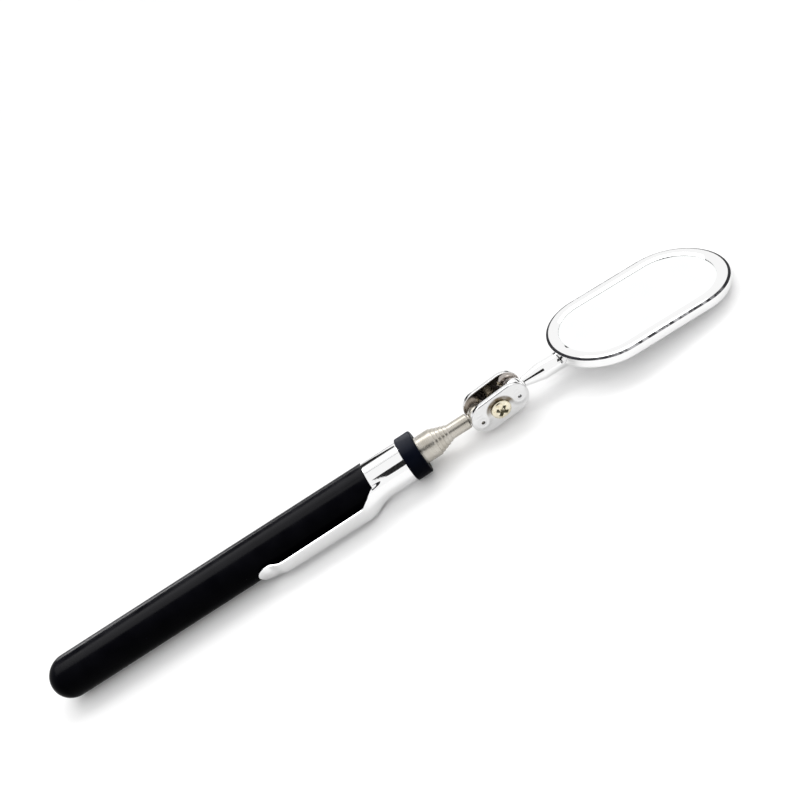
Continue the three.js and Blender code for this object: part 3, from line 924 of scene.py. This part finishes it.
BALL = 3.1
STUD = 1.2
PLATE_GAP = 5.0
PLATE_THICKNESS = 1.6
SEAT_HEIGHT = 0.45
SEAT_TOP = 1.7
SEAT_BASE = 3.3
HALF_SPACING = (BALL_2 - BALL_1).length / MM / 2
PLATE_END_RADIUS = 5.35
PLATE_STRAIGHT = 8.6
PLATE_RINGS = 22
PLATE_OUTLINE = (64, 40)  # steps of an outline's arcs and sides
SCREW_HOLE = 1.65
SEAT_HOLE = 0.6
SEAT_GAP = 0.25
HOLE_REACH = 9
REAR_NECK, REAR_SPIGOT = 1.7, 5.6
FRONT_NECK, FRONT_NECK_END, FRONT_SPIGOT_END = 1.55, 3.2, 9.2
NECK_STEPS = 48


def ball_profile(neck_radius, neck_end, spigot_end):
    meets = math.degrees(math.asin(neck_radius / BALL))
    round_part = arc(0, BALL, 180, meets, NECK_STEPS)
    neck = filleted([
        round_part[-2],
        (BALL * math.cos(math.radians(meets)), neck_radius, 0.3),
        (neck_end, neck_radius, 0.1),
        (neck_end, STUD),
    ])
    return round_part[:-2] + neck + [(spigot_end, STUD), (spigot_end, 0)]


def make_rear_ball(nickel):
    neck = (BALL_1.x - high("section_6", 0)) / MM - 0.1
    profile = [(-x, radius) for x, radius in ball_profile(REAR_NECK, neck, neck + REAR_SPIGOT)]
    piece = turned("rear_ball", profile, AT_BALL_1, nickel, sharp=40)
    stands_for(piece, "rear_ball_stud", "rear_ball")


def make_front_ball(chrome):
    profile = ball_profile(FRONT_NECK, FRONT_NECK_END, FRONT_SPIGOT_END)
    piece = turned("front_ball", profile, ON_MIRROR, chrome, sharp=40)
    stands_for(piece, "front_ball_stud", "front_ball")


def ball_tool(x, radius, material):
    centred = ON_CLAMP @ Matrix.Translation((x, 0, 0))
    return turned("ball_tool", arc(0, radius, 180, 0, 40), centred, material, sides=96)


def pin_tool(x, radius, material):
    upright = ON_CLAMP @ Matrix.Translation((x, 0, 0)) @ Matrix.Rotation(math.pi / 2, 4, "Z")
    profile = [
        (-HOLE_REACH, 0),
        (-HOLE_REACH, radius),
        (HOLE_REACH, radius),
        (HOLE_REACH, 0),
    ]
    return turned("pin_tool", profile, upright, material, sides=96)


def seat_height(x, y):
    """How far the raised ball seats stand above the plate's face."""
    away = math.hypot(abs(x) - HALF_SPACING, y)
    groove = 0.1 * math.exp(-(((away - 1.25) / 0.32) ** 2))
    return SEAT_HEIGHT * (1 - smoothstep(away, SEAT_TOP, SEAT_BASE)) - groove


def make_plate(name, node, side, chrome, inside):
    """One stamped plate with a raised seat over each ball. side is -1 under the screw head, 1 where
    the screw goes in."""
    end_radius = PLATE_END_RADIUS
    inner, outer = PLATE_GAP / 2, PLATE_GAP / 2 + PLATE_THICKNESS
    edge = filleted([
        (end_radius - 1.5, outer),
        (end_radius, outer, 0.55),
        (end_radius, inner, 0.3),
        (end_radius - 1.5, inner),
    ])
    rings = []
    for step in range(PLATE_RINGS):
        reach = (end_radius - 0.6) * step / PLATE_RINGS
        outline = stadium_ring(reach, PLATE_STRAIGHT, *PLATE_OUTLINE)
        rings.append([(x, y, outer + seat_height(x, y)) for x, y in outline])
    for reach, z in edge[1:]:
        outline = stadium_ring(reach, PLATE_STRAIGHT, *PLATE_OUTLINE)
        rings.append([(x, y, z) for x, y in outline])
    verts, faces = loft(rings)
    count = len(rings[0])
    last = (len(rings) - 1) * count
    faces.append(tuple(range(last + count - 1, last - 1, -1)))
    facing_out = ON_CLAMP @ Matrix.Rotation(-side * math.pi / 2, 4, "X")
    piece = finish_mesh(name, verts, faces, facing_out, chrome)
    tools = [pin_tool(0, SCREW_HOLE, chrome)]
    for end in (-1, 1):
        tools.append(pin_tool(end * HALF_SPACING, SEAT_HOLE, chrome))
        tools.append(ball_tool(end * HALF_SPACING, BALL + SEAT_GAP, chrome))
    carve(piece, *tools)
    soften(piece, 0.12, segments=3, angle=40)
    inward = -side * Vector((0, 1, 0))
    # The front plate's inner face gets painted shade; the rear plate's inner face gets bare steel.
    darken(piece, inside, [face for face in piece.data.polygons if face.normal.dot(inward) > 0.7])
    stands_for(piece, node, "clamp")


def recess_faces(piece, place, lowest, reach):
    """Faces inside a head's recess: near its axis, above lowest and not facing the axis's end."""
    back = place.inverted()
    direction = (place.to_3x3() @ Vector((1, 0, 0))).normalized()
    chosen = []
    for polygon in piece.data.polygons:
        local = back @ polygon.center
        if local.x > lowest and math.hypot(local.y, local.z) < reach:
            deep = local.x < lowest + 0.75
            if deep or polygon.normal.dot(direction) < 0.6:
                chosen.append(polygon)
    return chosen


def darken(piece, material, polygons):
    """Gives some of a piece's faces a second material."""
    piece.data.materials.append(material)
    index = len(piece.data.materials) - 1
    for polygon in polygons:
        polygon.material_index = index


HEAD_RADIUS = 3.1
HEAD_HEIGHT = 1.2
SHANK_RADIUS = 1.5
RECESS_DEPTH = 1.1
RECESS_HALF_LENGTH = 2.15
RECESS_HALF_WIDTH = 0.6
RECESS_TAPER = 0.62  # size of a slot's floor, as a share of its mouth


def make_screw(zinc, recess_shade):
    """Pan-head screw with a cross recess. Its head faces -Y."""
    under = PLATE_GAP / 2 + PLATE_THICKNESS + 0.1
    head, height, shank = HEAD_RADIUS, HEAD_HEIGHT, SHANK_RADIUS
    pan = filleted([
        (-under - 0.5, 0),
        (-under - 0.5, shank, 0.3),
        (under, shank, 0.1),
        (under, head, 0.12),
        (under + 0.5, head, 0.5),
        (under + 0.98, head * 0.8, 1.6),
        (under + height, head * 0.4, 3.0),
        (under + height, 0),
    ])
    outward = ON_CLAMP @ Matrix.Rotation(-math.pi / 2, 4, "Z")
    piece = turned("screw_body", pan, outward, zinc, sides=128)
    tools = []
    top = under + height + 0.3
    deep = under + height - RECESS_DEPTH
    for turn in (math.pi / 4, 3 * math.pi / 4):
        verts = []
        for x, scale in ((top, 1.0), (deep, RECESS_TAPER)):
            long, thin = RECESS_HALF_LENGTH * scale, 0.4 + 0.6 * scale
            for y, z in ((-1, -1), (1, -1), (1, 1), (-1, 1)):
                verts.append((x, y * long, z * RECESS_HALF_WIDTH * thin))
        faces = [(0, 1, 2, 3), (7, 6, 5, 4), (0, 4, 5, 1), (1, 5, 6, 2), (2, 6, 7, 3), (3, 7, 4, 0)]
        place = outward @ Matrix.Rotation(turn, 4, "X")
        tools.append(finish_mesh("slot_tool", verts, faces, place, zinc))
    pit = [(deep - 0.5, 0), (top, 1.15), (top, 0)]
    tools.append(turned("pit_tool", pit, outward, zinc, sides=48))
    carve(piece, *tools)
    soften(piece, 0.07, segments=2, angle=40)
    # Painted shade on the faces inside the cross recess.
    darken(piece, recess_shade, recess_faces(piece, outward, under + 0.2, 2.2))
    stands_for(piece, "clamp_screw", "screw")


# ------------------------------------------------------------------ stem and mirror

STRAIGHT = 25.0
FRAME_RADIUS = 16.25
OPENING = 12.5
DEPTH = 3.5
FRAME_LOW = 0.6  # the frame's back, above the stem's axis
MIRROR_NEAR = 15.488
MIRROR_CENTRE = MIRROR_NEAR + STRAIGHT / 2 + FRAME_RADIUS
TONGUE = 9.0
STEM_RADIUS = 2.9
STEM_BORE = 1.25
STEM_START = 3.3
STEM_BORE_END = 9.3
CONE_END = 9.7
RIVETS = (MIRROR_NEAR + TONGUE / 2 - 1.9, MIRROR_NEAR + TONGUE / 2 + 1.9)
RIVET_HOLE = 0.85
CHANNEL_GAP = 0.15
CHANNEL_DEPTH = 0.1
GLASS_THICKNESS = 1.85


def box_tool(low_corner, high_corner, place, material):
    verts = []
    for z in (low_corner[2], high_corner[2]):
        for x, y in ((0, 0), (1, 0), (1, 1), (0, 1)):
            verts.append((
                high_corner[0] if x else low_corner[0],
                high_corner[1] if y else low_corner[1],
                z,
            ))
    faces = [(3, 2, 1, 0), (4, 5, 6, 7), (0, 1, 5, 4), (1, 2, 6, 5), (2, 3, 7, 6), (3, 0, 4, 7)]
    return finish_mesh("box_tool", verts, faces, place, material)


def upright(x):
    """The mirror's frame with local X turned to point out of the glass, at x along the stem."""
    return ON_MIRROR @ Matrix.Translation((x, 0, 0)) @ Matrix.Rotation(-math.pi / 2, 4, "Y")


def rivet_holes(bottom, top, material):
    pin = [(bottom, 0), (bottom, RIVET_HOLE), (top, RIVET_HOLE), (top, 0)]
    return [turned("rivet_hole", pin, upright(x), material, sides=48) for x in RIVETS]


def make_stem(chrome):
    """Cone and barrel, going on under the frame as a half-round tongue."""
    end = MIRROR_NEAR + TONGUE
    profile = filleted([
        (STEM_START, STEM_BORE),
        (STEM_START, FRONT_NECK, 0.12),
        (CONE_END, 2.86, 0.4),
        (9.95, STEM_RADIUS, 0.3),
        (end, STEM_RADIUS, 0.5),
        (end, 0),
        (STEM_BORE_END, 0),
        (STEM_BORE_END, STEM_BORE),
        (STEM_START, STEM_BORE),
    ])
    piece = turned("stem_body", profile, ON_MIRROR, chrome, sharp=45)
    above = box_tool(
        (MIRROR_NEAR - 0.1, -4, FRAME_LOW + 0.05), (end + 2, 4, 6), ON_MIRROR, chrome
    )
    carve(piece, above, *rivet_holes(-1.4, 3, chrome))
    soften(piece, 0.12, segments=3, angle=50)
    stands_for(piece, "mirror_stem", "mirror")


def lip_edge_faces(piece, place, lowest, highest):
    """Faces round the outline, between two heights, on the outer edge of the frame's lip."""
    back = place.inverted()
    chosen = []
    for polygon in piece.data.polygons:
        local = back @ polygon.center
        reach = math.hypot(max(abs(local.x) - STRAIGHT / 2, 0), local.y)
        if lowest < local.z < highest and reach > FRAME_RADIUS - 0.8:
            chosen.append(polygon)
    return chosen


def make_frame_ring(chrome, lip_reflection):
    """Pressed tray: rounded back edge, straight wall, and the lip rolled in over the glass."""
    back, front = FRAME_LOW, FRAME_LOW + DEPTH
    wall, floor, lip = 0.7, 0.5, 0.55
    profile = filleted([
        (3.0, back),
        (FRAME_RADIUS, back, 0.7),
        (FRAME_RADIUS, front - 0.46, 0.1),
        (FRAME_RADIUS - 0.1, front - 0.38),
        (FRAME_RADIUS - 0.78, front - 0.08, 0.1),
        (FRAME_RADIUS - 1.5, front, 0.6),
        (OPENING + 1.0, front - 0.1, 0.9),
        (OPENING, front - 0.4, 0.06),
        (OPENING, front - lip, 0.05),
        (FRAME_RADIUS - wall, front - lip),
        (FRAME_RADIUS - wall, back + floor),
        (3.0, back + floor),
    ])
    centred = ON_MIRROR @ Matrix.Translation((MIRROR_CENTRE, 0, 0))
    piece = stadium_solid("frame_ring", profile, STRAIGHT, centred, chrome, sharp=50, arc_steps=110)
    channel = box_tool(
        (MIRROR_NEAR - 1, -STEM_RADIUS - CHANNEL_GAP, FRAME_LOW - 1),
        (MIRROR_NEAR + TONGUE + CHANNEL_GAP, STEM_RADIUS + CHANNEL_GAP, FRAME_LOW + CHANNEL_DEPTH),
        ON_MIRROR,
        chrome,
    )
    carve(piece, channel, *rivet_holes(FRAME_LOW - 1, FRAME_LOW + 1, chrome))
    smooth(piece)
    # Painted dark reflection on the faces round the lip's outer edge.
    darken(piece, lip_reflection, lip_edge_faces(piece, centred, front - 0.42, front - 0.07))
    stands_for(piece, "mirror_frame", "mirror")


def make_rivet(index, nickel):
    under = FRAME_LOW + 0.55
    bottom = FRAME_LOW - 1.9
    profile = filleted([
        (bottom, 0),
        (bottom, 0.8, 0.1),
        (under, 0.8),
        (under, 1.4, 0.05),
        (under + 0.33, 1.05, 0.15),
        (under + 0.34, 0),
    ])
    piece = turned(f"rivet_{index + 1}", profile, upright(RIVETS[index]), nickel, sides=64)
    stands_for(piece, f"stem_rivet_{index + 1}", "mirror")


def make_glass(silver):
    top = FRAME_LOW + DEPTH - 0.6
    edge = FRAME_RADIUS - 0.95
    profile = filleted([
        (4.0, top - GLASS_THICKNESS),
        (edge, top - GLASS_THICKNESS, 0.2),
        (edge, top, 0.2),
        (4.0, top),
    ])
    centred = ON_MIRROR @ Matrix.Translation((MIRROR_CENTRE, 0, 0))
    piece = stadium_solid("glass_plate", profile, STRAIGHT, centred, silver, sharp=30)
    stands_for(piece, "mirror_glass", "mirror")


# ------------------------------------------------------------------ CAD nodes that stay


def paint(node, material):
    mesh = frame["nodes"][node].data
    mesh.materials.clear()
    mesh.materials.append(material)


def light_only(lights, pieces):
    """Keeps the lights to the pieces, as flags and grids do in a studio."""
    receivers = bpy.data.collections.new("lit_" + lights[0])
    for piece in pieces:
        receivers.objects.link(bpy.data.objects[piece])
    for light in lights:
        bpy.data.objects[light].light_linking.receiver_collection = receivers


def build():
    make_camera()
    make_studio()
    vinyl = make_vinyl()
    plastic = make_cap_plastic()
    chrome = make_chrome("bright_chrome", (0.86, 0.86, 0.86), 0.035, 0.000006)
    plate_chrome = make_plate_chrome()
    nickel = make_nickel()
    zinc = make_zinc()
    brass = make_brass()

    make_sleeve(vinyl)
    make_end_cap(plastic)
    make_clip(chrome)
    for index in range(1, 6):
        make_section(index, nickel)
    make_rod(nickel)
    make_rear_ball(nickel)
    make_front_ball(chrome)
    make_plate("front_plate", "clamp_plate_front", -1, plate_chrome, make_painted_inside_shade())
    make_plate("rear_plate", "clamp_plate_rear", 1, plate_chrome, make_inside_steel())
    make_screw(zinc, make_painted_recess_shade())
    make_stem(chrome)
    make_frame_ring(chrome, make_painted_lip_reflection())
    make_rivet(0, nickel)
    make_rivet(1, nickel)
    make_glass(make_mirror_silver())

    paint("handle_tube", chrome)
    paint("butt_plug", plastic)
    paint("mouth_bush", brass)
    for index in range(1, 7):
        paint(f"slide_bush_{index}", brass)
    paint("glass_pad", make_foam())


build()
light_only(VINYL_LIGHTS, ("sleeve_skin", "cap_shell"))
